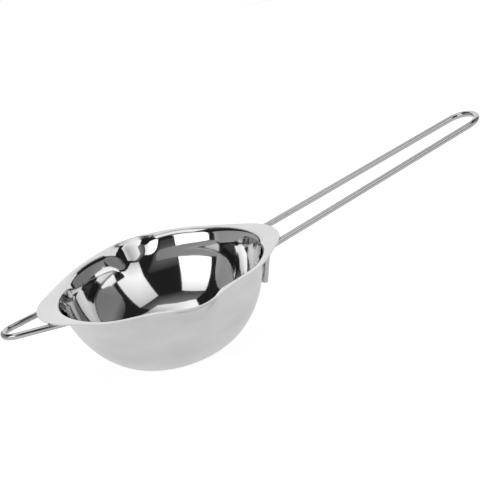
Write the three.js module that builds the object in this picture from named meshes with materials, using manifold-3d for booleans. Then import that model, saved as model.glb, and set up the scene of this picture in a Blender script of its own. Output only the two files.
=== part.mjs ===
// A melting pot that hangs in a saucepan of hot water: a pressed steel bowl with a flange and two
// spouts, a long handle of bent wire, and a short wire loop that rests on the pan's far rim.
// Millimetres, +Z up. The origin is the centre of the flat base's underside and +X runs out along
// the handle. Left and right are those of the hand that holds it, so right is +Y.

import * as THREE from 'three';
import { TessellateModifier } from 'three/addons/modifiers/TessellateModifier.js';
import { mergeVertices } from 'three/addons/utils/BufferGeometryUtils.js';
import Module from 'manifold-3d';

const degrees = THREE.MathUtils.degToRad;

// Pressed sheet of the bowl
const SHEET = 0.8; // thickness
const BOWL_HEIGHT = 53.2; // top of the flange above the underside of the base
const BASE_RADIUS = 25; // flat base
const WALL_RADIUS = 64; // outside of the wall where its curve would stand upright
const WALL_TOP_DROP = 1.2; // from the flange's top down to where that curve would stand upright
const WALL_FULLNESS = 1.74; // exponent of the wall's curve: 2 is an ellipse, less is leaner
const FLARE_WIDTH = 2.4; // how far the top of the wall leans out of that curve
const FLARE_DEPTH = 9.7; // from the flange's top down to where the wall starts to lean out
const FLARE_CURVE = 1.5; // exponent of the flare: 1 is a cone, more turns out later
const RIM_BEND = 3.8; // radius of the sheet's underside where the wall turns into the flange

// Flange: a round ring with two pointed ends, and a lip outside each spout
const FLANGE_WIDTH = 2.2; // flat of the ring at its narrowest
const END_OVERHANG = 8; // tip of a pointed end beyond the ring
const END_RADIUS = 43; // rounding of a pointed end
const LIP_WIDTH = 2.8; // from a spout's edge to the lip's edge
const LIP_RADIUS = 28; // rounding of the flange outside a spout
const LIP_RISE = 1; // a lip's edge above the spout's edge

// Spouts: slanting round channels pressed into the wall on both sides
const SPOUT_REACH = 6.2; // edge of a spout beyond the flange's inner edge
const SPOUT_RADIUS = 20.5; // of the channel
const SPOUT_TILT = degrees(45); // lean of the channel's axis away from upright
const RIM_SWELL = 1.3; // how far the rim rises on both sides of a spout
const SWELL_TURN = degrees(48); // from a spout's middle to where the rim is level again
const SWELL_CURVE = 3; // exponent of the swell: more keeps it closer to the rim

// Wire of the handle and the loop
const WIRE = 4; // diameter
const WELD_GAP = 0.5; // between wire and sheet, filled by the welds
const CLEARANCE = 0.12; // between a weld and the metal that it joins

// Handle
const HANDLE_LENGTH = 154.5; // from the flange's tip to the handle's outer end
const HANDLE_RISE = degrees(10.3);
const HANDLE_ROOT_SPACING = 32.4; // between the legs' centre lines under the flange's edge
const HANDLE_END_SPACING = 24.8; // between the legs' centre lines at the outer end
const HANDLE_END_FLAT = 1.5; // straight stretch between the two bends of the outer end
const LEG_BEND = 5; // radius of the centre line where a leg turns down along the wall
const LEG_DEPTH = 25.5; // cut end of a leg below the flange's top

// Rest loop
const LOOP_LENGTH = 24.5; // from the flange's tip to the loop's outer end
const LOOP_SPREAD = degrees(17.8); // each leg from the loop's own axis
const LOOP_TIP_BEND = 8.7; // radius of the centre line
const LOOP_WALL_GAP = 1.5; // between a leg's cut end and the rim's bend

// Welds: beads between the wire and the sheet, spread beyond both sides of the wire
const FLANGE_BEAD = { length: 8, spread: 1.2, height: 1.9 };
const WALL_BEAD = { length: 8, spread: 0.8, height: 1.6 };
const BEAD_SETBACK = 1.5; // from the flange's edge to the end of a handle bead

// Fineness of the faceted solids
const ROUND_STEPS = 72;
const ARC_STEPS = 9; // half the steps along each arc of the flange's outline
const WALL_STEPS = 18;
const WALL_CROWDING = 1.7; // exponent that sets the wall's steps closer together near the base
const RIM_STEPS = 5;
const SWELL_STEP = 8; // longest edge of the faces that the swell bends
const SWELL_CUTS = 12; // most times that such a face is cut in two
const WIRE_SIDES = 12;
const BEAD_STEPS = 5;
const BEND_STEP = degrees(15);
const HALVINGS = 40; // of the range in which an angle is sought

const wireRadius = WIRE / 2;
const wallTop = BOWL_HEIGHT - WALL_TOP_DROP; // top of the wall's curve
const rimHeight = BOWL_HEIGHT - SHEET - RIM_BEND; // centre of the rim's bend
const rimLean = findRimLean();
const wallEnd = rimHeight + RIM_BEND * Math.sin(rimLean); // where the wall ends and the rim's bend starts
const flangeMiddle = BOWL_HEIGHT - SHEET / 2;
const openingRadius = wallRadius(wallEnd) + RIM_BEND * Math.cos(rimLean); // inner edge of the flat flange
const flangeRadius = openingRadius + FLANGE_WIDTH;
const flangeTip = flangeRadius + END_OVERHANG;
const spoutEdge = openingRadius + SPOUT_REACH;
const endCentre = flangeTip - END_RADIUS;
const lipCentre = spoutEdge + LIP_WIDTH - LIP_RADIUS;
const lipTurn = Math.acos((flangeRadius - LIP_RADIUS) / lipCentre); // half the turn that a lip takes up
const spoutAxisReach = spoutEdge - SPOUT_RADIUS / Math.cos(SPOUT_TILT); // where its axis meets the flange
const wireHeight = BOWL_HEIGHT - SHEET - WELD_GAP - wireRadius; // centre line under the flange

const bowlSteel = new THREE.MeshStandardMaterial({ color: 0xc6c8c9, roughness: 0.3, metalness: 1 });
const wireSteel = new THREE.MeshStandardMaterial({ color: 0xcfd1d2, roughness: 0.15, metalness: 1 });
const weldSteel = new THREE.MeshStandardMaterial({ color: 0xa6a7a8, roughness: 0.5, metalness: 1 });

const wasm = await Module();
wasm.setup();

// A closed geometry as a solid that can be cut and joined
function toSolid(geometry) {
  const bare = geometry.clone();
  bare.deleteAttribute('normal');
  bare.deleteAttribute('uv');
  const merged = mergeVertices(bare);
  const corners = merged.index.array;
  const triVerts = [];
  for (let i = 0; i < corners.length; i += 3) {
    const [a, b, c] = corners.slice(i, i + 3);
    if (a !== b && b !== c && c !== a) triVerts.push(a, b, c);
  }
  const vertProperties = merged.attributes.position.array;
  const mesh = new wasm.Mesh({ numProp: 3, vertProperties, triVerts: Uint32Array.from(triVerts) });
  return new wasm.Manifold(mesh);
}

function toGeometry(solid) {
  const { vertProperties, triVerts } = solid.getMesh();
  const geometry = new THREE.BufferGeometry();
  geometry.setAttribute('position', new THREE.BufferAttribute(vertProperties, 3));
  geometry.setIndex(new THREE.BufferAttribute(triVerts, 1));
  geometry.computeVertexNormals();
  return geometry;
}

// A profile of [radius, height] pairs, from the axis round to the axis, spun about Z
function revolve(profile) {
  const points = profile.map(([radius, height]) => new THREE.Vector2(radius, height));
  return toSolid(new THREE.LatheGeometry(points, ROUND_STEPS).rotateX(Math.PI / 2));
}

// How much of the flare the wall has reached at a height: 0 below it, 1 at the flange's top
function flareShare(height) {
  return THREE.MathUtils.clamp(1 - (BOWL_HEIGHT - height) / FLARE_DEPTH, 0, 1);
}

// How far up its own curve the wall is at a height: the depth below the curve's top and the reach
// from the base's edge, as shares of the whole curve
function wallCurve(height) {
  const depth = Math.max(1 - height / wallTop, 0);
  const reach = Math.pow(1 - Math.pow(depth, WALL_FULLNESS), 1 / WALL_FULLNESS);
  return { depth, reach };
}

// The wall's outside radius at a height, from the flat base up to the rim's bend
function wallRadius(height) {
  const flare = FLARE_WIDTH * Math.pow(flareShare(height), FLARE_CURVE);
  return BASE_RADIUS + (WALL_RADIUS - BASE_RADIUS) * wallCurve(height).reach + flare;
}

// The angle of the wall's outside from upright at a height
function wallLean(height) {
  const { depth, reach } = wallCurve(height);
  const curveMean = (WALL_RADIUS - BASE_RADIUS) / wallTop;
  const curveSlope = curveMean * Math.pow(depth / reach, WALL_FULLNESS - 1);
  const flareEnd = (FLARE_WIDTH * FLARE_CURVE) / FLARE_DEPTH;
  const flareSlope = flareEnd * Math.pow(flareShare(height), FLARE_CURVE - 1);
  return Math.atan(curveSlope + flareSlope);
}

// The wall's lean where it runs smoothly into the rim's bend
function findRimLean() {
  let low = 0;
  let high = Math.PI / 2;
  for (let i = 0; i < HALVINGS; i++) {
    const lean = (low + high) / 2;
    if (wallLean(rimHeight + RIM_BEND * Math.sin(lean)) > lean) low = lean;
    else high = lean;
  }
  return low;
}

// The bowl's side from the base to the flange, moved out by `offset` (inwards where it is negative)
function sideProfile(offset) {
  const profile = [];
  for (let i = 0; i < WALL_STEPS; i++) {
    const height = wallEnd * Math.pow(i / WALL_STEPS, WALL_CROWDING);
    const lean = wallLean(height);
    profile.push([wallRadius(height) + offset * Math.cos(lean), height - offset * Math.sin(lean)]);
  }
  const bend = Math.max(RIM_BEND - offset, 0);
  for (let i = 0; i <= RIM_STEPS; i++) {
    const angle = rimLean + (i / RIM_STEPS) * (Math.PI / 2 - rimLean);
    profile.push([openingRadius - bend * Math.cos(angle), rimHeight + bend * Math.sin(angle)]);
  }
  return profile;
}

// The flange's outline: the ring, the two pointed ends and the two lips, wrapped by one taut line
function flangeOutline() {
  const endTurn = Math.acos((flangeRadius - END_RADIUS) / endCentre);
  const outline = new THREE.Shape();
  for (const half of [0, Math.PI]) {
    const side = Math.cos(half);
    const quarter = half + Math.PI / 2;
    outline.absarc(side * endCentre, 0, END_RADIUS, half - endTurn, half + endTurn);
    outline.absarc(0, 0, flangeRadius, half + endTurn, quarter - lipTurn);
    outline.absarc(0, side * lipCentre, LIP_RADIUS, quarter - lipTurn, quarter + lipTurn);
    outline.absarc(0, 0, flangeRadius, quarter + lipTurn, half + Math.PI - endTurn);
  }
  return outline;
}

function flangePlate(grow) {
  const options = { depth: SHEET + grow, bevelEnabled: false, curveSegments: ARC_STEPS };
  const plate = new THREE.ExtrudeGeometry(flangeOutline(), options);
  return toSolid(plate.translate(0, 0, BOWL_HEIGHT - SHEET - grow));
}

// A spout's channel on the side +Y (side 1) or -Y (side -1), grown by the sheet for its outside.
// Its floor starts at the spout's edge on the flange's top and ends well inside the wall.
function spoutChannel(side, grow) {
  const radius = SPOUT_RADIUS + grow;
  const floorStart = -SPOUT_RADIUS * Math.tan(SPOUT_TILT);
  const floorEnd = floorStart + (SPOUT_REACH + SPOUT_RADIUS) / Math.sin(SPOUT_TILT);
  const top = 2 * floorStart;
  const channel = new THREE.CylinderGeometry(radius, radius, floorEnd - top, ROUND_STEPS);
  channel.translate(0, -(floorEnd + top) / 2, 0).rotateX(Math.PI / 2 - side * SPOUT_TILT);
  return toSolid(channel.translate(0, side * spoutAxisReach, BOWL_HEIGHT));
}

// Everything inside the bowl's outer face, with the flange filled in
function bowlBlank(grow) {
  const side = sideProfile(grow);
  const body = revolve([[0, side[0][1]], ...side, [openingRadius, flangeMiddle], [0, flangeMiddle]]);
  return body.add(flangePlate(grow));
}

// The outside of a spout, from the middle of the flange's sheet down
function spoutBulge(side) {
  const width = 3 * (SPOUT_RADIUS + SHEET);
  const reach = spoutEdge + LIP_WIDTH;
  const space = new THREE.BoxGeometry(width, reach, rimHeight);
  space.translate(0, (side * reach) / 2, flangeMiddle - rimHeight / 2);
  return spoutChannel(side, SHEET).intersect(toSolid(space));
}

// How far the lips lift the flange at a place: nothing along the spout's edge and along the opening,
// and most at the lip's middle
function lipLift(x, y) {
  const off = Math.atan2(Math.abs(x), Math.abs(y));
  if (off > lipTurn) return 0;
  const across = (Math.abs(y) - spoutAxisReach) * Math.cos(SPOUT_TILT);
  const fromSpout = (Math.hypot(x, across) - SPOUT_RADIUS) / (LIP_WIDTH * Math.cos(SPOUT_TILT));
  const fromOpening = (Math.hypot(x, y) - openingRadius) / FLANGE_WIDTH;
  const share = THREE.MathUtils.clamp(Math.min(fromSpout, fromOpening), 0, 1);
  return LIP_RISE * share * Math.pow(Math.cos((off / lipTurn) * (Math.PI / 2)), 2);
}

// How far the rim swells up at a place: nothing at a spout's middle and far from it, most halfway
// between, and less and less down the wall
function rimSwell(x, y, z) {
  const turn = Math.min(Math.atan2(Math.abs(x), Math.abs(y)) / SWELL_TURN, 1);
  const share = Math.pow(Math.sin(turn * Math.PI), 2);
  return RIM_SWELL * share * Math.pow(z / BOWL_HEIGHT, SWELL_CURVE);
}

// The bowl with its faces cut small enough to bend, then lifted by the lips and by the swell
function liftRim(geometry) {
  const pieces = new TessellateModifier(SWELL_STEP, SWELL_CUTS).modify(geometry);
  pieces.deleteAttribute('normal');
  const lifted = mergeVertices(pieces);
  const { position } = lifted.attributes;
  for (let i = 0; i < position.count; i++) {
    const [x, y, z] = [position.getX(i), position.getY(i), position.getZ(i)];
    position.setZ(i, z + lipLift(x, y) + rimSwell(x, y, z));
  }
  lifted.computeVertexNormals();
  return lifted;
}

function bowlGeometry() {
  const inside = sideProfile(-SHEET);
  const above = BOWL_HEIGHT + SHEET;
  const hollow = revolve([[0, inside[0][1]], ...inside, [openingRadius, above], [0, above]]);
  let bowl = bowlBlank(0);
  for (const side of [1, -1]) bowl = bowl.add(spoutBulge(side));
  bowl = bowl.subtract(hollow);
  for (const side of [1, -1]) bowl = bowl.subtract(spoutChannel(side, 0));
  return liftRim(toGeometry(bowl));
}

// The centre line of a bent wire: straight runs between corners, each corner rounded by its radius.
// Its sections sit only at the ends of the runs and along the bends.
class BentWire extends THREE.Curve {
  constructor(corners, radii) {
    super();
    this.stations = [];
    this.headings = [];
    corners.forEach((corner, i) => {
      const before = corners[i - 1] ?? corner.clone().multiplyScalar(2).sub(corners[i + 1]);
      const after = corners[i + 1] ?? corner.clone().multiplyScalar(2).sub(corners[i - 1]);
      this.addBend(before, corner, after, radii[i]);
    });
  }

  addBend(before, corner, after, radius) {
    const entry = corner.clone().sub(before).normalize();
    const exit = after.clone().sub(corner).normalize();
    const turn = entry.angleTo(exit);
    if (radius === 0 || turn === 0) {
      this.stations.push(corner);
      this.headings.push(exit);
      return;
    }
    const tangent = radius * Math.tan(turn / 2);
    const start = corner.clone().addScaledVector(entry, -tangent);
    const inward = exit.clone().addScaledVector(entry, -Math.cos(turn)).normalize();
    const steps = Math.ceil(turn / BEND_STEP);
    for (let i = 0; i <= steps; i++) {
      const angle = (turn * i) / steps;
      const along = radius * Math.sin(angle);
      const across = radius * (1 - Math.cos(angle));
      this.stations.push(start.clone().addScaledVector(entry, along).addScaledVector(inward, across));
      const heading = entry.clone().multiplyScalar(Math.cos(angle));
      this.headings.push(heading.addScaledVector(inward, Math.sin(angle)));
    }
  }

  get steps() {
    return this.stations.length - 1;
  }

  getPoint(t, target = new THREE.Vector3()) {
    return target.copy(this.stations[Math.round(t * this.steps)]);
  }

  getTangent(t, target = new THREE.Vector3()) {
    return target.copy(this.headings[Math.round(t * this.steps)]);
  }

  getUtoTmapping(u) {
    return u;
  }
}

function wireGeometry(path, grow) {
  const section = new THREE.Shape();
  section.absarc(0, 0, wireRadius + grow, 0, 2 * Math.PI);
  const options = { steps: path.steps, extrudePath: path, curveSegments: WIRE_SIDES / 2 };
  return new THREE.ExtrudeGeometry(section, options);
}

// The point where a level line from `point` along `heading`, seen from above, leaves a circle
// about the bowl's axis, given as the distance along the line
function distanceToCircle(point, heading, radius) {
  const middle = -(point.x * heading.x + point.y * heading.y);
  const apart = point.x * heading.y - point.y * heading.x;
  return middle + Math.sqrt(radius * radius - apart * apart);
}

// One leg of the handle, on the side +Y (side 1) or -Y (side -1), in the upright plane that holds it
function handleLeg(side) {
  const rootY = HANDLE_ROOT_SPACING / 2;
  const rootX = endCentre + Math.sqrt(END_RADIUS * END_RADIUS - rootY * rootY);
  const endX = flangeTip + HANDLE_LENGTH - wireRadius;
  const run = new THREE.Vector3(endX - rootX, (side * (HANDLE_END_SPACING - HANDLE_ROOT_SPACING)) / 2, 0);
  const length = run.length();
  const heading = run.clone().normalize();
  const root = new THREE.Vector3(rootX, side * rootY, 0);
  const slope = Math.tan(HANDLE_RISE);
  const rootHeight = BOWL_HEIGHT - SHEET - WELD_GAP - wireRadius / Math.cos(HANDLE_RISE);
  const at = (distance, height) => root.clone().addScaledVector(heading, distance).setZ(height);

  // The bent-down end lies along the wall, clear of the bulge between its two heights
  const high = rootHeight - WIRE;
  const low = BOWL_HEIGHT - LEG_DEPTH;
  const wallAt = (height) => distanceToCircle(root, heading, wallRadius(height));
  const lean = (wallAt(high) - wallAt(low)) / (high - low);
  let bulge = 0;
  for (let i = 1; i < WALL_STEPS; i++) {
    const height = low + ((high - low) * i) / WALL_STEPS;
    bulge = Math.max(bulge, wallAt(height) - wallAt(low) - lean * (height - low));
  }
  const middle = (high + low) / 2;
  const touch = at(wallAt(middle), middle);
  const wallSlope = (wallRadius(high) - wallRadius(low)) / (high - low);
  const normal = new THREE.Vector3(touch.x, touch.y, -wallSlope * wallRadius(middle)).normalize();
  const offset = bulge + (wireRadius + WELD_GAP) / normal.dot(heading);
  const footAt = (height) => wallAt(low) + lean * (height - low) + offset;

  // The bent-down end and the sloping leg meet in one corner
  const corner = (footAt(0) + lean * rootHeight) / (1 - lean * slope);
  return {
    foot: at(footAt(low), low),
    bend: at(corner, rootHeight + slope * corner),
    end: at(length, rootHeight + slope * length),
    touch,
    normal,
    root: at(0, rootHeight),
  };
}

const handleLegs = { right: handleLeg(1), left: handleLeg(-1) };

function handlePath() {
  const { right, left } = handleLegs;
  const turn = right.end.clone().sub(right.root).angleTo(left.end.clone().sub(right.end));
  const endBend = (HANDLE_END_SPACING - HANDLE_END_FLAT) / 2 / Math.tan(turn / 2);
  const corners = [right.foot, right.bend, right.end, left.end, left.bend, left.foot];
  return new BentWire(corners, [0, LEG_BEND, endBend, endBend, LEG_BEND, 0]);
}

// One leg of the loop: from where its line meets the other's to its cut end under the flange, which
// stays clear of the rim's bend at the height of the wire's top
function loopLeg(side) {
  const tip = flangeTip + LOOP_LENGTH - wireRadius;
  const apex = new THREE.Vector3(-tip - LOOP_TIP_BEND * (1 / Math.sin(LOOP_SPREAD) - 1), 0, wireHeight);
  const heading = new THREE.Vector3(-Math.cos(LOOP_SPREAD), -side * Math.sin(LOOP_SPREAD), 0);
  const bendRadius = openingRadius - Math.sqrt(WELD_GAP * (2 * RIM_BEND - WELD_GAP));
  const back = distanceToCircle(apex, heading, bendRadius + LOOP_WALL_GAP);
  const foot = apex.clone().addScaledVector(heading, back);
  return { apex, heading, foot };
}

const loopLegs = { right: loopLeg(1), left: loopLeg(-1) };

function loopPath() {
  const { right, left } = loopLegs;
  return new BentWire([right.foot, right.apex, left.foot], [0, LOOP_TIP_BEND, 0]);
}

// A low dome of unit width and height on a skirt that reaches into the sheet below it
function beadDome(skirt) {
  const points = [new THREE.Vector2(0, -skirt), new THREE.Vector2(1, -skirt)];
  for (let i = 0; i <= BEAD_STEPS; i++) {
    const angle = (i / BEAD_STEPS) * (Math.PI / 2);
    points.push(new THREE.Vector2(Math.cos(angle), Math.sin(angle)));
  }
  points[points.length - 1].x = 0;
  return new THREE.LatheGeometry(points, 2 * WIRE_SIDES).rotateX(Math.PI / 2);
}

// A bead of weld on the sheet at `place`, cut to the sheet and to the wire that lies along `along`
function weldGeometry(place, along, outward, bead, wirePath) {
  const across = new THREE.Vector3().crossVectors(outward, along).normalize();
  const straight = new THREE.Vector3().crossVectors(across, outward);
  const frame = new THREE.Matrix4().makeBasis(straight, across, outward).setPosition(place);
  const dome = beadDome(SHEET / 2 / bead.height);
  dome.scale(bead.length / 2, wireRadius + bead.spread, bead.height).applyMatrix4(frame);
  const wire = toSolid(wireGeometry(wirePath, CLEARANCE));
  return toGeometry(toSolid(dome).subtract(bowlBlank(CLEARANCE)).subtract(wire));
}

const pot = new THREE.Group();

function addPiece(name, geometry, material) {
  const piece = new THREE.Mesh(geometry, material);
  piece.name = name;
  pot.add(piece);
}

const handle = handlePath();
const loop = loopPath();
const down = new THREE.Vector3(0, 0, -1);
const underside = BOWL_HEIGHT - SHEET;

addPiece('bowl', bowlGeometry(), bowlSteel);
addPiece('handle', wireGeometry(handle, 0), wireSteel);
addPiece('rest_loop', wireGeometry(loop, 0), wireSteel);

for (const side of ['left', 'right']) {
  const leg = handleLegs[side];
  const legHeading = leg.end.clone().sub(leg.root).normalize();
  const beadMiddle = FLANGE_BEAD.length / 2 + BEAD_SETBACK;
  const flangeSpot = leg.root.clone().addScaledVector(legHeading, -beadMiddle).setZ(underside);
  const flangeBead = weldGeometry(flangeSpot, legHeading, down, FLANGE_BEAD, handle);
  addPiece(`handle_flange_weld_${side}`, flangeBead, weldSteel);

  const footHeading = leg.bend.clone().sub(leg.foot).normalize();
  const wallBead = weldGeometry(leg.touch, footHeading, leg.normal, WALL_BEAD, handle);
  addPiece(`handle_wall_weld_${side}`, wallBead, weldSteel);

  const { foot, heading } = loopLegs[side];
  const loopSpot = foot.clone().addScaledVector(heading, FLANGE_BEAD.length / 2).setZ(underside);
  addPiece(`loop_weld_${side}`, weldGeometry(loopSpot, heading, down, FLANGE_BEAD, loop), weldSteel);
}

export default pot;
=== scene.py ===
"""A melting pot on a white table: pressed steel bowl, bent-wire handle and rest loop, six welds.

Metres, +Z up. The origin is the centre of the flat base's underside and +X runs out along the handle.
The sizes of the pressing and of the wires repeat the CAD model's, in millimetres.
"""

import math

import bpy
import numpy as np
from mathutils import Matrix, Vector


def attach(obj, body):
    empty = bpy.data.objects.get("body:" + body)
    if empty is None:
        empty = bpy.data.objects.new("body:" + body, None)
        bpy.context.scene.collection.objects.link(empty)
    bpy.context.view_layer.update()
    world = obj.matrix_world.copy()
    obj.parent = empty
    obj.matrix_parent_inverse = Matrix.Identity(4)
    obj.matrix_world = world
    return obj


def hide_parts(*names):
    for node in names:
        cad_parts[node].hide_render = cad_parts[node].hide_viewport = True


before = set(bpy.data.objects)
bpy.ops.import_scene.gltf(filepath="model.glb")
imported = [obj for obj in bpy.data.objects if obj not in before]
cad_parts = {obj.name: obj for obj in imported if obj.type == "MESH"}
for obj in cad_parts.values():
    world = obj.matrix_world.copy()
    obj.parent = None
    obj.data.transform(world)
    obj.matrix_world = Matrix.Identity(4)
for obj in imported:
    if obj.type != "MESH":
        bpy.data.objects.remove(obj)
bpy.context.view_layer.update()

MM = 0.001

# Pressed sheet of the bowl
SHEET = 0.8 * MM
BOWL_HEIGHT = 53.2 * MM
BASE_RADIUS = 25 * MM
WALL_RADIUS = 64 * MM  # where the wall's curve would stand upright
WALL_TOP = BOWL_HEIGHT - 1.2 * MM  # the height at which it would
WALL_FULLNESS = 1.74
FLARE_WIDTH = 2.4 * MM  # how far the top of the wall leans out of that curve
FLARE_DEPTH = 9.7 * MM
FLARE_CURVE = 1.5
RIM_BEND = 3.8 * MM
RIDGE_BEND = 3 * MM  # between a spout's channel and the wall
EDGE_ROUND = 0.25 * MM  # deburred edge of the flange
BEND_SHARE = 0.6  # most of the flange's width that the rim's bend takes up

# Flange with its two pointed ends and a lip outside each spout
FLANGE_WIDTH = 2.2 * MM
END_OVERHANG = 8 * MM
END_RADIUS = 43 * MM
LIP_WIDTH = 2.8 * MM
LIP_RADIUS = 28 * MM
LIP_RISE = 1 * MM

# Spouts: slanting round channels
SPOUT_REACH = 6.2 * MM
SPOUT_RADIUS = 20.5 * MM
SPOUT_TILT = math.radians(45)
SPOUT_START = 30 * MM  # from the bowl's axis, well inside the wall
RIM_SWELL = 1.3 * MM  # how far the rim rises on both sides of a spout
SWELL_TURN = math.radians(48)  # from a spout's middle to where the rim is level again
SWELL_CURVE = 3  # more keeps the swell closer to the rim

# Wires
WIRE_RADIUS = 2 * MM
WELD_GAP = 0.5 * MM
CUT_ROUND = 0.4 * MM  # deburred edge of a cut end
HANDLE_LENGTH = 154.5 * MM
HANDLE_RISE = math.radians(10.3)
HANDLE_ROOT_SPACING = 32.4 * MM
HANDLE_END_SPACING = 24.8 * MM
HANDLE_END_FLAT = 1.5 * MM
LEG_BEND = 5 * MM
LEG_DEPTH = 25.5 * MM
LOOP_LENGTH = 24.5 * MM
LOOP_SPREAD = math.radians(17.8)
LOOP_TIP_BEND = 8.7 * MM
LOOP_WALL_GAP = 1.5 * MM

# Fineness of the meshes
COLUMNS = 360  # round the bowl, closest together at the spouts
COLUMN_CROWDING = 0.6
BASE_ROWS = 5
WALL_ROWS = 48
RIM_ROWS = 12
POLISHED_RIM_ROWS = 7  # the mirror ends part of the way round the rim's bend
FLANGE_ROWS = 10
WIRE_SIDES = 32
BEND_STEPS = 24
HALVINGS = 44  # of the range in which an angle or a place is sought
LEAST_SHARE = 0.1  # these two keep the distance to the wall steady near the bowl's axis
LEAST_SLOPE = 0.5

# Camera
CAMERA_AZIMUTH = math.radians(16.4)  # from -Y, turned towards -X
CAMERA_ELEVATION = math.radians(19.3)
CAMERA_ROLL = math.radians(15.18)
CAMERA_DISTANCE = 789.3 * MM
CAMERA_LENS = 96.35
AIM_RIGHT = 49.57 * MM  # from the middle of the opening to the point that the camera aims at
AIM_UP = 19.13 * MM

# Table and studio
TABLE_RADIUS = 1.2  # past it the camera sees the white room
TABLE_SIDES = 64
TABLE_GLOW = 0.78  # of the paper, on top of the light that falls on it
TABLE_MIRRORED = 0.55  # the same where the steel shows it
STUDIO_RADIUS = 1.6  # from the middle of the opening to the panels' corners
ROOM_GLOW = 0.02  # of what lies between the panels


def flare_share(height):
    """How far up the flare a height is: 0 at its foot and below, 1 at the flange."""
    return np.clip(1 - (BOWL_HEIGHT - height) / FLARE_DEPTH, 0, 1)


def flare(height):
    """How far the wall leans out of its curve at a height."""
    return FLARE_WIDTH * flare_share(height) ** FLARE_CURVE


def flare_slope(height):
    """How steeply the flare leans out at a height."""
    return FLARE_WIDTH * FLARE_CURVE / FLARE_DEPTH * flare_share(height) ** (FLARE_CURVE - 1)


def wall_radius(height):
    """The wall's outside radius at a height."""
    share = (1 - (1 - height / WALL_TOP) ** WALL_FULLNESS) ** (1 / WALL_FULLNESS)
    return BASE_RADIUS + (WALL_RADIUS - BASE_RADIUS) * share + flare(height)


def wall_lean(height):
    """The angle of the wall's outside from upright at a height."""
    depth = 1 - height / WALL_TOP
    share = (1 - depth ** WALL_FULLNESS) ** (1 / WALL_FULLNESS)
    slope = (WALL_RADIUS - BASE_RADIUS) / WALL_TOP * (depth / share) ** (WALL_FULLNESS - 1)
    return math.atan(slope + flare_slope(height))


def find_rim_lean():
    """The wall's lean where it runs into the rim's bend."""
    low, high = 0, math.pi / 2
    for _ in range(HALVINGS):
        lean = (low + high) / 2
        if wall_lean(RIM_HEIGHT + RIM_BEND * math.sin(lean)) > lean:
            low = lean
        else:
            high = lean
    return low


RIM_HEIGHT = BOWL_HEIGHT - SHEET - RIM_BEND  # middle of the rim's bend
RIM_LEAN = find_rim_lean()
RIM_ROUND = (RIM_BEND + SHEET) * (1 - math.sin(RIM_LEAN))  # height of the bend's upper face
INNER_RADIUS = WALL_RADIUS - SHEET + FLARE_WIDTH  # of the flared wall, drawn on up to the flange's top
OPENING_RADIUS = wall_radius(RIM_HEIGHT + RIM_BEND * math.sin(RIM_LEAN)) + RIM_BEND * math.cos(RIM_LEAN)
FLANGE_RADIUS = OPENING_RADIUS + FLANGE_WIDTH
FLANGE_TIP = FLANGE_RADIUS + END_OVERHANG
SPOUT_EDGE = OPENING_RADIUS + SPOUT_REACH
END_CENTRE = FLANGE_TIP - END_RADIUS
LIP_CENTRE = SPOUT_EDGE + LIP_WIDTH - LIP_RADIUS
LIP_TURN = math.acos((FLANGE_RADIUS - LIP_RADIUS) / LIP_CENTRE)
SPOUT_AXIS_REACH = SPOUT_EDGE - SPOUT_RADIUS / math.cos(SPOUT_TILT)
WIRE_HEIGHT = BOWL_HEIGHT - SHEET - WELD_GAP - WIRE_RADIUS


def linear(hex_colour):
    """An sRGB hex colour as linear red, green, blue and alpha."""
    channels = [int(hex_colour[i:i + 2], 16) / 255 for i in (0, 2, 4)]
    return [c / 12.92 if c <= 0.04045 else ((c + 0.055) / 1.055) ** 2.4 for c in channels] + [1]


def add_node(tree, kind, settings=None, **inputs):
    """A node with its settings; each input is a value, or another node's output to link to it."""
    node = tree.nodes.new(kind)
    for name, value in (settings or {}).items():
        setattr(node, name, value)
    for name, value in inputs.items():
        by_number = name[0] == "i" and name[1:].isdigit()
        socket = node.inputs[int(name[1:]) if by_number else name.replace("_", " ")]
        if isinstance(value, bpy.types.NodeSocket):
            tree.links.new(value, socket)
        else:
            socket.default_value = value
    return node


def new_object(name, mesh):
    obj = bpy.data.objects.new(name, mesh)
    bpy.context.scene.collection.objects.link(obj)
    return obj


def plain_mesh(obj):
    """Turns what the object's modifiers give into its own mesh, and removes the modifiers."""
    evaluated = obj.evaluated_get(bpy.context.evaluated_depsgraph_get())
    mesh = bpy.data.meshes.new_from_object(evaluated)
    obj.modifiers.clear()
    obj.data = mesh
    mesh.name = obj.name


# Materials

def new_material(name):
    material = bpy.data.materials.new(name)
    material.use_nodes = True
    material.node_tree.nodes.clear()
    return material, material.node_tree


def finish_material(tree, shader):
    add_node(tree, "ShaderNodeOutputMaterial", Surface=shader.outputs[0])


def polished_stainless_steel():
    """Pressed sheet, buffed to a mirror: sharp reflections, faintly wavy from the pressing."""
    material, tree = new_material("polished_stainless_steel")
    place = add_node(tree, "ShaderNodeTexCoord").outputs["Object"]
    waves = add_node(tree, "ShaderNodeTexNoise", Vector=place, Scale=1 / (26 * MM), Detail=1.0)
    buffing = add_node(tree, "ShaderNodeTexNoise", Vector=place, Scale=1 / (2.5 * MM), Detail=4.0)
    roughness = add_node(tree, "ShaderNodeMapRange", Value=buffing.outputs[0], To_Min=0.04, To_Max=0.08)
    bump = add_node(tree, "ShaderNodeBump", Height=waves.outputs[0], Strength=0.06, Distance=0.5 * MM)
    steel = add_node(
        tree, "ShaderNodeBsdfPrincipled", Base_Color=linear("D2D2D2"), Metallic=1.0,
        Roughness=roughness.outputs[0], Normal=bump.outputs[0],
    )
    finish_material(tree, steel)
    return material


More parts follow.
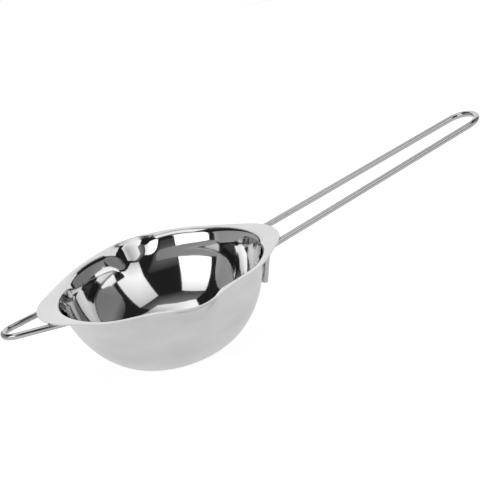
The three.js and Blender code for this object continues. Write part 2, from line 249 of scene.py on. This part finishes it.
def satin_stainless_steel():
    """Sheet brushed on the turntable: dull, with fine rings and soft level clouds round the bowl."""
    material, tree = new_material("satin_stainless_steel")
    place = add_node(tree, "ShaderNodeTexCoord").outputs["Object"]
    parts = add_node(tree, "ShaderNodeSeparateXYZ", Vector=place)
    flat = add_node(tree, "ShaderNodeCombineXYZ", X=parts.outputs["X"], Y=parts.outputs["Y"])
    radius = add_node(tree, "ShaderNodeVectorMath", {"operation": "LENGTH"}, i0=flat.outputs[0])
    rings = add_node(tree, "ShaderNodeCombineXYZ", X=radius.outputs["Value"], Y=parts.outputs["Z"])
    # The rings are drawn coarser than real ones, which are too fine to show
    brushing = add_node(tree, "ShaderNodeTexNoise", Vector=rings.outputs[0], Scale=1 / (0.9 * MM), Detail=3.0)
    level = add_node(tree, "ShaderNodeMapping", Vector=place, Scale=(1, 1, 2.5))
    clouds = add_node(tree, "ShaderNodeTexNoise", Vector=level.outputs[0], Scale=1 / (40 * MM), Detail=3.0)
    tone = add_node(tree, "ShaderNodeMapRange", Value=clouds.outputs[0], To_Min=0.56, To_Max=0.79)
    roughness = add_node(tree, "ShaderNodeMapRange", Value=clouds.outputs[0], To_Min=0.2, To_Max=0.3)
    bump = add_node(tree, "ShaderNodeBump", Height=brushing.outputs[0], Strength=0.25, Distance=0.05 * MM)
    steel = add_node(
        tree, "ShaderNodeBsdfPrincipled", Base_Color=tone.outputs[0], Metallic=1.0,
        Roughness=roughness.outputs[0], Normal=bump.outputs[0],
    )
    finish_material(tree, steel)
    return material


def drawn_wire():
    """Drawn stainless steel wire, polished: bright, with faint die lines along it."""
    material, tree = new_material("drawn_stainless_wire")
    around = add_node(tree, "ShaderNodeAttribute", {"attribute_name": "around"})
    place = add_node(tree, "ShaderNodeTexCoord").outputs["Object"]
    lines = add_node(
        tree, "ShaderNodeTexNoise", {"noise_dimensions": "1D"}, W=around.outputs["Fac"], Scale=40.0,
    )
    wear = add_node(tree, "ShaderNodeTexNoise", Vector=place, Scale=1 / (6 * MM), Detail=3.0)
    roughness = add_node(tree, "ShaderNodeMapRange", Value=wear.outputs[0], To_Min=0.1, To_Max=0.18)
    bump = add_node(tree, "ShaderNodeBump", Height=lines.outputs[0], Strength=0.1, Distance=0.03 * MM)
    steel = add_node(
        tree, "ShaderNodeBsdfPrincipled", Base_Color=linear("BEBEBE"), Metallic=1.0,
        Roughness=roughness.outputs[0], Normal=bump.outputs[0],
    )
    finish_material(tree, steel)
    return material


def brushed_weld():
    """Weld metal brushed clean: duller than the wire, with a slightly pitted skin."""
    material, tree = new_material("brushed_weld_metal")
    place = add_node(tree, "ShaderNodeTexCoord").outputs["Object"]
    pits = add_node(tree, "ShaderNodeTexNoise", Vector=place, Scale=1 / (0.8 * MM), Detail=4.0)
    roughness = add_node(tree, "ShaderNodeMapRange", Value=pits.outputs[0], To_Min=0.35, To_Max=0.6)
    bump = add_node(tree, "ShaderNodeBump", Height=pits.outputs[0], Strength=0.5, Distance=0.1 * MM)
    steel = add_node(
        tree, "ShaderNodeBsdfPrincipled", Base_Color=linear("B0AEAB"), Metallic=1.0,
        Roughness=roughness.outputs[0], Normal=bump.outputs[0],
    )
    finish_material(tree, steel)
    return material


# The pressed bowl

def join_rounded(a, b, radius):
    """The distance to two hollows joined into one, with the edge between them rounded off."""
    corner = np.hypot(np.maximum(radius - a, 0), np.maximum(radius - b, 0))
    return np.maximum(radius, np.minimum(a, b)) - corner


def distance_to_wall(place):
    """Roughly the distance to the round wall and the flat base, below zero inside the bowl."""
    width = WALL_RADIUS - SHEET - BASE_RADIUS
    height = WALL_TOP - SHEET
    radius = np.hypot(place[..., 0], place[..., 1]) - flare(place[..., 2])
    out = np.maximum(radius - BASE_RADIUS, 0) / width
    down = np.maximum(WALL_TOP - place[..., 2], 0) / height
    share = np.maximum((out ** WALL_FULLNESS + down ** WALL_FULLNESS) ** (1 / WALL_FULLNESS), LEAST_SHARE)
    slope_out = (out / share) ** (WALL_FULLNESS - 1) / width
    slope_down = (down / share) ** (WALL_FULLNESS - 1) / height + slope_out * flare_slope(place[..., 2])
    return (share - 1) / np.maximum(np.hypot(slope_out, slope_down), LEAST_SLOPE / height)


def distance_to_spout(place, side):
    """The distance to a spout's channel on the side +Y (1) or -Y (-1), below zero inside it."""
    reach = side * place[..., 1]
    drop = BOWL_HEIGHT - place[..., 2]
    across = (reach - SPOUT_AXIS_REACH) * math.cos(SPOUT_TILT) + drop * math.sin(SPOUT_TILT)
    return np.maximum(np.hypot(place[..., 0], across) - SPOUT_RADIUS, SPOUT_START - reach)


def distance_to_hollow(place):
    """The distance to the bowl's hollow with both spouts, below zero inside it."""
    hollow = distance_to_wall(place)
    for side in (1, -1):
        hollow = join_rounded(hollow, distance_to_spout(place, side), RIDGE_BEND)
    return hollow


def distance_to_sheet(place):
    """The distance to the sheet's upper face, below zero in the air above it."""
    return join_rounded(distance_to_hollow(place), BOWL_HEIGHT - place[..., 2], RIM_ROUND)


def flange_edge(angle):
    """The distance from the bowl's axis to the flange's edge: the taut line round ring, ends and lips."""
    end_turn = math.acos((FLANGE_RADIUS - END_RADIUS) / END_CENTRE)
    turned = np.abs((angle + math.pi) % (2 * math.pi) - math.pi)
    turned = np.minimum(turned, math.pi - turned)
    edge = np.full_like(turned, FLANGE_RADIUS)
    for centre, radius, turn, off in (
        (END_CENTRE, END_RADIUS, end_turn, turned),
        (LIP_CENTRE, LIP_RADIUS, LIP_TURN, math.pi / 2 - turned),
    ):
        round_part = centre * np.cos(off) + np.sqrt(np.maximum(radius ** 2 - (centre * np.sin(off)) ** 2, 0))
        straight = FLANGE_RADIUS / np.cos(np.maximum(turn - off, 0))
        tip_end = math.atan2(radius * math.sin(turn), centre + radius * math.cos(turn))
        edge = np.where(off < turn, straight, edge)
        edge = np.where(off < tip_end, round_part, edge)
    return edge


def lip_lift(place):
    """How far the lips lift the flange: nothing along the spout's edge and most at the lip's middle."""
    x, y = np.abs(place[..., 0]), np.abs(place[..., 1])
    off = np.minimum(np.arctan2(x, y) / LIP_TURN, 1)
    across = (y - SPOUT_AXIS_REACH) * math.cos(SPOUT_TILT)
    from_spout = (np.hypot(x, across) - SPOUT_RADIUS) / (LIP_WIDTH * math.cos(SPOUT_TILT))
    from_opening = (np.hypot(x, y) - OPENING_RADIUS) / FLANGE_WIDTH
    share = np.clip(np.minimum(from_spout, from_opening), 0, 1)
    return LIP_RISE * share ** 2 * (3 - 2 * share) * np.cos(off * math.pi / 2) ** 2


def rim_swell(place):
    """How far the rim swells up: nothing at a spout's middle and far from it, and less down the wall."""
    turn = np.arctan2(np.abs(place[..., 0]), np.abs(place[..., 1])) / SWELL_TURN
    share = np.sin(np.minimum(turn, 1) * math.pi) ** 2
    return RIM_SWELL * share * (place[..., 2] / BOWL_HEIGHT) ** SWELL_CURVE


def first_hit(start, through, distance, near, far):
    """Where the line from start through each point first meets the surface of a distance function.

    It is sought between near and far, given as shares of the way to the point.
    """
    near = np.full(through.shape[:-1], near)
    far = np.full(through.shape[:-1], far)
    for _ in range(HALVINGS):
        middle = (near + far) / 2
        inside = distance(start + (through - start) * middle[..., None]) < 0
        near = np.where(inside, middle, near)
        far = np.where(inside, far, middle)
    return start + (through - start) * near[..., None]


def bowl_guide(angle):
    """Rows of points that the lines from above the bowl pass through, from the base's centre outwards.

    They follow the round wall, drawn out sideways at the spouts, then the rim's bend and the flange.
    Also gives the number of rows that belong to the mirror inside.
    """
    heading = np.stack([np.cos(angle), np.sin(angle)], axis=-1)
    axis_top = np.array([0, 0, BOWL_HEIGHT])
    out = np.concatenate([heading * FLANGE_TIP, np.full((len(angle), 1), BOWL_HEIGHT)], axis=-1)
    opening = np.linalg.norm(first_hit(axis_top, out, distance_to_hollow, near=0.3, far=1.2)[:, :2], axis=-1)
    edge = flange_edge(angle)
    rows = []
    for i in range(1, BASE_ROWS + 1):
        rows.append((opening / INNER_RADIUS * BASE_RADIUS * i / BASE_ROWS, SHEET))
    power = 2 / WALL_FULLNESS
    wall_end = BOWL_HEIGHT - RIM_ROUND
    last_turn = math.asin(((WALL_TOP - wall_end) / (WALL_TOP - SHEET)) ** (1 / power))
    for i in range(1, WALL_ROWS + 1):
        turn = math.pi / 2 - (math.pi / 2 - last_turn) * i / WALL_ROWS
        height = WALL_TOP - (WALL_TOP - SHEET) * math.sin(turn) ** power
        radius = BASE_RADIUS + (WALL_RADIUS - SHEET - BASE_RADIUS) * math.cos(turn) ** power + flare(height)
        rows.append((opening / INNER_RADIUS * radius, height))
    wall_edge = rows[-1][0]
    bend = np.minimum(OPENING_RADIUS - INNER_RADIUS, BEND_SHARE * (edge - opening))
    for i in range(1, RIM_ROWS + 1):
        turn = i / RIM_ROWS * math.pi / 2
        radius = wall_edge + (opening + bend - wall_edge) * (1 - math.cos(turn))
        rows.append((radius, wall_end + RIM_ROUND * math.sin(turn)))
    mirror_rows = len(rows) - RIM_ROWS + POLISHED_RIM_ROWS
    flat = edge - opening - bend
    for i in range(1, FLANGE_ROWS + 1):
        share = math.sin(i / FLANGE_ROWS * math.pi / 2)
        rows.append((opening + bend + flat * share, BOWL_HEIGHT))
    guide = [
        np.concatenate([heading * radius[:, None], np.full((len(angle), 1), height)], axis=-1)
        for radius, height in rows
    ]
    return np.array(guide), mirror_rows


def trim_to_outline(mesh):
    """Pulls in what the sheet's thickness pushes out past the flange's outline or below the base."""
    points = np.empty(len(mesh.vertices) * 3)
    mesh.vertices.foreach_get("co", points)
    points = points.reshape(-1, 3)
    radius = np.maximum(np.hypot(points[:, 0], points[:, 1]), SHEET)
    edge = flange_edge(np.arctan2(points[:, 1], points[:, 0]))
    points[:, :2] *= np.minimum(edge / radius, 1)[:, None]
    points[:, 2] = np.maximum(points[:, 2], 0)
    mesh.vertices.foreach_set("co", points.ravel())
    mesh.update()


def make_bowl(inside_finish, outside_finish):
    """The pressing: its upper face as a grid of rows round the axis, then the sheet's thickness below it."""
    turn = np.arange(COLUMNS) / COLUMNS * 2 * math.pi
    angle = turn + COLUMN_CROWDING / 2 * np.sin(2 * turn)
    guide, mirror_rows = bowl_guide(angle)
    above = np.array([0, 0, 2 * BOWL_HEIGHT])
    grid = first_hit(above, guide, distance_to_sheet, near=0.3, far=1.6)
    grid[..., 2] += lip_lift(grid) + rim_swell(grid)
    points = [(0, 0, SHEET)] + [tuple(p) for p in grid.reshape(-1, 3)]
    faces = []
    finishes = []
    for column in range(COLUMNS):
        after = (column + 1) % COLUMNS
        faces.append((0, 1 + column, 1 + after))
        finishes.append(0)
        for row in range(len(grid) - 1):
            low = 1 + row * COLUMNS
            high = low + COLUMNS
            faces.append((low + column, high + column, high + after, low + after))
            finishes.append(0 if row + 1 < mirror_rows else 1)
    mesh = bpy.data.meshes.new("bowl_pressing")
    mesh.from_pydata(points, [], faces)
    mesh.polygons.foreach_set("material_index", finishes)
    mesh.materials.append(inside_finish)
    mesh.materials.append(outside_finish)
    mesh.shade_smooth()
    bowl = new_object("bowl_pressing", mesh)
    sheet = bowl.modifiers.new("sheet", "SOLIDIFY")
    sheet.thickness = SHEET
    sheet.offset = -1
    sheet.use_even_offset = True
    sheet.material_offset = 1  # the lower face and the edge take the outside's finish
    sheet.material_offset_rim = 1
    edge = bowl.modifiers.new("deburred_edge", "BEVEL")
    edge.width = EDGE_ROUND
    edge.segments = 3
    edge.limit_method = "ANGLE"
    edge.angle_limit = math.radians(60)
    plain_mesh(bowl)
    trim_to_outline(bowl.data)
    return bowl


# The wires

def distance_to_circle(point, heading, radius):
    """How far along a level line from point it leaves a circle about the bowl's axis."""
    middle = -(point.x * heading.x + point.y * heading.y)
    apart = point.x * heading.y - point.y * heading.x
    return middle + math.sqrt(radius * radius - apart * apart)


def handle_leg(side):
    """The corners of one leg's centre line: cut end on the wall, bend under the flange, outer end."""
    root_y = HANDLE_ROOT_SPACING / 2
    root_x = END_CENTRE + math.sqrt(END_RADIUS ** 2 - root_y ** 2)
    end_x = FLANGE_TIP + HANDLE_LENGTH - WIRE_RADIUS
    run = Vector((end_x - root_x, side * (HANDLE_END_SPACING - HANDLE_ROOT_SPACING) / 2, 0))
    heading = run.normalized()
    slope = math.tan(HANDLE_RISE)
    root = Vector((root_x, side * root_y, 0))
    root_height = BOWL_HEIGHT - SHEET - WELD_GAP - WIRE_RADIUS / math.cos(HANDLE_RISE)
    high = root_height - 2 * WIRE_RADIUS
    low = BOWL_HEIGHT - LEG_DEPTH

    def at(distance, height):
        spot = root + heading * distance
        return Vector((spot.x, spot.y, height))

    def wall_at(height):
        return distance_to_circle(root, heading, wall_radius(height))

    lean = (wall_at(high) - wall_at(low)) / (high - low)
    heights = [low + (high - low) * i / WALL_ROWS for i in range(WALL_ROWS)]
    bulge = max(wall_at(h) - wall_at(low) - lean * (h - low) for h in heights)
    middle = (high + low) / 2
    touch = at(wall_at(middle), middle)
    wall_slope = (wall_radius(high) - wall_radius(low)) / (high - low)
    normal = Vector((touch.x, touch.y, -wall_slope * wall_radius(middle))).normalized()
    offset = bulge + (WIRE_RADIUS + WELD_GAP) / normal.dot(heading)
    foot_start = wall_at(low) - lean * low + offset
    corner = (foot_start + lean * root_height) / (1 - lean * slope)
    foot = at(foot_start + lean * low, low)
    bend = at(corner, root_height + slope * corner)
    end = at(run.length, root_height + slope * run.length)
    return foot, bend, end


def handle_corners():
    """Corners and bend radii of the handle's centre line, from one cut end round to the other."""
    foot, bend, end = handle_leg(1)
    other_foot, other_bend, other_end = handle_leg(-1)
    turn = (end - bend).angle(other_end - end)
    end_bend = (HANDLE_END_SPACING - HANDLE_END_FLAT) / 2 / math.tan(turn / 2)
    corners = [foot, bend, end, other_end, other_bend, other_foot]
    return corners, [0, LEG_BEND, end_bend, end_bend, LEG_BEND, 0]


def loop_corners():
    """Corners and bend radii of the rest loop's centre line."""
    tip = FLANGE_TIP + LOOP_LENGTH - WIRE_RADIUS
    apex = Vector((-tip - LOOP_TIP_BEND * (1 / math.sin(LOOP_SPREAD) - 1), 0, WIRE_HEIGHT))
    rim_radius = OPENING_RADIUS - math.sqrt(WELD_GAP * (2 * RIM_BEND - WELD_GAP))
    feet = []
    for side in (1, -1):
        heading = Vector((-math.cos(LOOP_SPREAD), -side * math.sin(LOOP_SPREAD), 0))
        back = distance_to_circle(apex, heading, rim_radius + LOOP_WALL_GAP)
        feet.append(apex + heading * back)
    return [feet[0], apex, feet[1]], [0, LOOP_TIP_BEND, 0]


def bent_wire_tree():
    """Geometry nodes that bend a line of corners and sweep a round wire along it."""
    tree = bpy.data.node_groups.new("bent_wire", "GeometryNodeTree")
    tree.interface.new_socket("Geometry", in_out="INPUT", socket_type="NodeSocketGeometry")
    tree.interface.new_socket("Geometry", in_out="OUTPUT", socket_type="NodeSocketGeometry")
    for name, kind in (
        ("Wire radius", "NodeSocketFloat"), ("Sides", "NodeSocketInt"),
        ("Bend steps", "NodeSocketInt"), ("Finish", "NodeSocketMaterial"),
    ):
        tree.interface.new_socket(name, in_out="INPUT", socket_type=kind)
    sizes = add_node(tree, "NodeGroupInput")
    bend = add_node(tree, "GeometryNodeInputNamedAttribute", {"data_type": "FLOAT"}, Name="bend")
    thickness = add_node(tree, "GeometryNodeInputNamedAttribute", {"data_type": "FLOAT"}, Name="thickness")
    line = add_node(tree, "GeometryNodeMeshToCurve", Mesh=sizes.outputs["Geometry"])
    path = add_node(
        tree, "GeometryNodeFilletCurve", {"mode": "POLY"}, Curve=line.outputs[0],
        Count=sizes.outputs["Bend steps"], Radius=bend.outputs[0],
    )
    section = add_node(
        tree, "GeometryNodeCurvePrimitiveCircle", Resolution=sizes.outputs["Sides"],
        Radius=sizes.outputs["Wire radius"],
    )
    around = add_node(tree, "GeometryNodeSplineParameter")
    marked = add_node(
        tree, "GeometryNodeStoreNamedAttribute", {"data_type": "FLOAT", "domain": "POINT"},
        Geometry=section.outputs[0], Name="around", Value=around.outputs["Factor"],
    )
    wire = add_node(
        tree, "GeometryNodeCurveToMesh", Curve=path.outputs[0], Profile_Curve=marked.outputs[0],
        Scale=thickness.outputs[0], Fill_Caps=True,
    )
    smooth = add_node(tree, "GeometryNodeSetShadeSmooth", Geometry=wire.outputs[0])
    real = add_node(tree, "GeometryNodeRealizeInstances", Geometry=smooth.outputs[0])
    finished = add_node(
        tree, "GeometryNodeSetMaterial", Geometry=real.outputs[0], Material=sizes.outputs["Finish"],
    )
    add_node(tree, "NodeGroupOutput", Geometry=finished.outputs[0])
    return tree


def make_wire(name, corners, bends, tree, finish):
    """One bent wire; its cut ends taper over the deburred edge."""
    start = corners[0] + (corners[1] - corners[0]).normalized() * CUT_ROUND
    end = corners[-1] + (corners[-2] - corners[-1]).normalized() * CUT_ROUND
    points = [corners[0], start, *corners[1:-1], end, corners[-1]]
    cut_share = 1 - CUT_ROUND / WIRE_RADIUS
    mesh = bpy.data.meshes.new(name)
    mesh.from_pydata(points, [(i, i + 1) for i in range(len(points) - 1)], [])
    mesh.attributes.new("bend", "FLOAT", "POINT").data.foreach_set("value", [0, *bends, 0])
    thickness = [cut_share] + [1] * (len(points) - 2) + [cut_share]
    mesh.attributes.new("thickness", "FLOAT", "POINT").data.foreach_set("value", thickness)
    wire = new_object(name, mesh)
    sweep = wire.modifiers.new("bent_wire", "NODES")
    sweep.node_group = tree
    values = {"Wire radius": WIRE_RADIUS, "Sides": WIRE_SIDES, "Bend steps": BEND_STEPS, "Finish": finish}
    for item in tree.interface.items_tree:
        if item.in_out == "INPUT" and item.name in values:
            sweep[item.identifier] = values[item.name]
    plain_mesh(wire)
    return wire


# Table, studio and camera

def camera_axes():
    """The directions to the camera's right, up and forward."""
    sin_a, cos_a = math.sin(CAMERA_AZIMUTH), math.cos(CAMERA_AZIMUTH)
    sin_e, cos_e = math.sin(CAMERA_ELEVATION), math.cos(CAMERA_ELEVATION)
    sin_r, cos_r = math.sin(CAMERA_ROLL), math.cos(CAMERA_ROLL)
    level = Vector((cos_a, -sin_a, 0))
    upright = Vector((sin_a * sin_e, cos_a * sin_e, cos_e))
    forward = Vector((sin_a * cos_e, cos_a * cos_e, -sin_e))
    return level * cos_r - upright * sin_r, level * sin_r + upright * cos_r, forward


def add_camera():
    right, up, forward = camera_axes()
    place = Vector((0, 0, BOWL_HEIGHT)) + right * AIM_RIGHT + up * AIM_UP - forward * CAMERA_DISTANCE
    data = bpy.data.cameras.new("camera")
    data.lens = CAMERA_LENS
    data.sensor_width = 36
    data.clip_start = 0.01
    camera = new_object("camera", data)
    turned = Matrix((right, up, -forward)).transposed().to_4x4()
    camera.matrix_world = Matrix.Translation(place) @ turned
    bpy.context.scene.camera = camera


def studio_direction(azimuth, elevation):
    """A direction from the bowl; azimuth 0 is towards the camera and grows to the camera's right."""
    turn = azimuth - CAMERA_AZIMUTH
    level = math.cos(elevation)
    return Vector((math.sin(turn) * level, -math.cos(turn) * level, math.sin(elevation)))


def glowing(name):
    """A panel's own light, as bright as its corners say."""
    material, tree = new_material(name)
    glow = add_node(tree, "ShaderNodeAttribute", {"attribute_name": "glow"})
    shader = add_node(tree, "ShaderNodeEmission", Color=(1, 1, 1, 1), Strength=glow.outputs["Fac"])
    finish_material(tree, shader)
    return material


def add_panel(name, *corners):
    """A glowing panel of the studio; each corner is its azimuth and elevation in degrees and its strength."""
    centre = Vector((0, 0, BOWL_HEIGHT))
    points = []
    for azimuth, elevation, _ in corners:
        heading = studio_direction(math.radians(azimuth), math.radians(elevation))
        points.append(centre + heading * STUDIO_RADIUS)
    mesh = bpy.data.meshes.new(name)
    mesh.from_pydata(points, [], [tuple(range(len(points)))])
    mesh.attributes.new("glow", "FLOAT", "POINT").data.foreach_set("value", [glow for _, _, glow in corners])
    mesh.materials.append(glowing(name))
    panel = new_object(name, mesh)
    panel.visible_camera = False


def add_studio():
    """Softboxes and walls, where the steel shows them as the photographed steel shows its studio."""
    add_panel("softbox_left", (-65.5, 13, 2.4), (-69, 46, 1.1), (-26, 50.5, 1.1), (-22.5, 11.5, 2.4))
    add_panel("softbox_right", (26.5, 14, 1.75), (18, 50.5, 0.85), (59.5, 50.5, 0.7), (60, 14.5, 1.3))
    add_panel(
        "softbox_top", (-62, 59, 1.4), (-49, 62.5, 1.4), (12, 65, 1.3), (30, 61.5, 1.1), (50, 61, 1.0),
        (60, 60.5, 0.5), (72, 57, 0.5), (84, 54, 1.0), (120, 60, 1.0), (180, 60, 1.2), (-130, 60, 1.4),
    )
    add_panel("ceiling_left", (-69, 46, 0.1), (-62, 59, 0.27), (-49, 62.5, 0.27), (-26, 50.5, 0.03))
    add_panel("ceiling_front", (-26, 50.5, 0.03), (-49, 62.5, 0.27), (12, 65, 0.27), (18, 50.5, 0.03))
    add_panel(
        "ceiling_right", (18, 50.5, 0.03), (12, 65, 0.27), (30, 61.5, 0.2), (50, 61, 0.16),
        (59.5, 50.5, 0.05),
    )
    add_panel(
        "wall_left", (-73, 11, 0.55), (-73, 24, 0.45), (-77, 31, 0.36), (-84, 35.5, 0.34), (-95, 35, 0.4),
        (-150, 26, 0.45), (-150, 3, 0.5), (-82, 3, 0.4),
    )
    add_panel(
        "wall_right", (66, 13.5, 0.36), (66, 28, 0.27), (115, 28, 0.3), (115, 4, 0.25), (92, 6, 0.25),
    )
    add_panel(
        "wall_right_top", (66, 28, 0.27), (71, 36, 0.13), (79, 39.5, 0.07), (105, 39.5, 0.07), (115, 28, 0.3),
    )
    add_panel("window_right", (59, 4, 1.5), (60, 13.5, 1.2), (80, 13.5, 1.2), (81, 4, 1.5))
    add_panel(
        "room_front", (-75, 0, 0.4), (-75, 11, 0.4), (-35, 11.5, 0.6), (-21, 12.5, 0.35), (15, 11.5, 0.27),
        (15, 0, 0.3),
    )
    add_panel("room_front_top", (-21, 12.5, 0.16), (-22, 21, 0.05), (16, 24, 0.03), (15, 11.5, 0.14))
    add_panel("backdrop", (120, 0, 1.05), (120, 45, 1.05), (205, 45, 1.05), (205, 0, 1.05))


def white_table():
    """White paper: nearly white for the camera, greyer in the steel, and it takes the pot's shadow."""
    material, tree = new_material("white_paper")
    path = add_node(tree, "ShaderNodeLightPath")
    seen = add_node(
        tree, "ShaderNodeMath", {"operation": "MULTIPLY"}, i0=path.outputs["Is Camera Ray"], i1=TABLE_GLOW,
    )
    strength = add_node(
        tree, "ShaderNodeMath", {"operation": "MULTIPLY_ADD"},
        i0=path.outputs["Is Glossy Ray"], i1=TABLE_MIRRORED, i2=seen.outputs[0],
    )
    glow = add_node(tree, "ShaderNodeEmission", Color=(1, 1, 1, 1), Strength=strength.outputs[0])
    paper = add_node(tree, "ShaderNodeBsdfDiffuse", Color=linear("BCBCBC"))
    both = add_node(tree, "ShaderNodeAddShader", i0=paper.outputs[0], i1=glow.outputs[0])
    finish_material(tree, both)
    return material


def add_table():
    turns = [i / TABLE_SIDES * 2 * math.pi for i in range(TABLE_SIDES)]
    ring = [(TABLE_RADIUS * math.cos(turn), TABLE_RADIUS * math.sin(turn), 0) for turn in turns]
    mesh = bpy.data.meshes.new("table")
    mesh.from_pydata(ring, [], [tuple(range(TABLE_SIDES))])
    mesh.materials.append(white_table())
    table = new_object("table", mesh)


def set_world():
    """A room that is white for the camera and nearly dark in the steel."""
    world = bpy.data.worlds.new("studio")
    bpy.context.scene.world = world
    world.use_nodes = True
    tree = world.node_tree
    tree.nodes.clear()
    path = add_node(tree, "ShaderNodeLightPath")
    strength = add_node(
        tree, "ShaderNodeMapRange", Value=path.outputs["Is Camera Ray"], To_Min=ROOM_GLOW, To_Max=1.0,
    )
    room = add_node(tree, "ShaderNodeBackground", Color=(1, 1, 1, 1), Strength=strength.outputs[0])
    add_node(tree, "ShaderNodeOutputWorld", Surface=room.outputs[0])


mirror = polished_stainless_steel()
satin = satin_stainless_steel()
wire_finish = drawn_wire()
weld_finish = brushed_weld()

bowl = make_bowl(mirror, satin)
wire_tree = bent_wire_tree()
handle = make_wire("handle_wire", *handle_corners(), wire_tree, wire_finish)
loop = make_wire("rest_loop_wire", *loop_corners(), wire_tree, wire_finish)

for piece, node, slot in (
    (bowl, "bowl", "bowl_steel"), (handle, "handle", "wire_steel"), (loop, "rest_loop", "wire_steel"),
):
    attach(piece, "root")
    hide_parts(node)

for name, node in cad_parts.items():
    if "weld" in name:
        node.data.materials.clear()
        node.data.materials.append(weld_finish)

add_table()
add_studio()
set_world()
add_camera()
bpy.context.scene.view_settings.view_transform = "Standard"
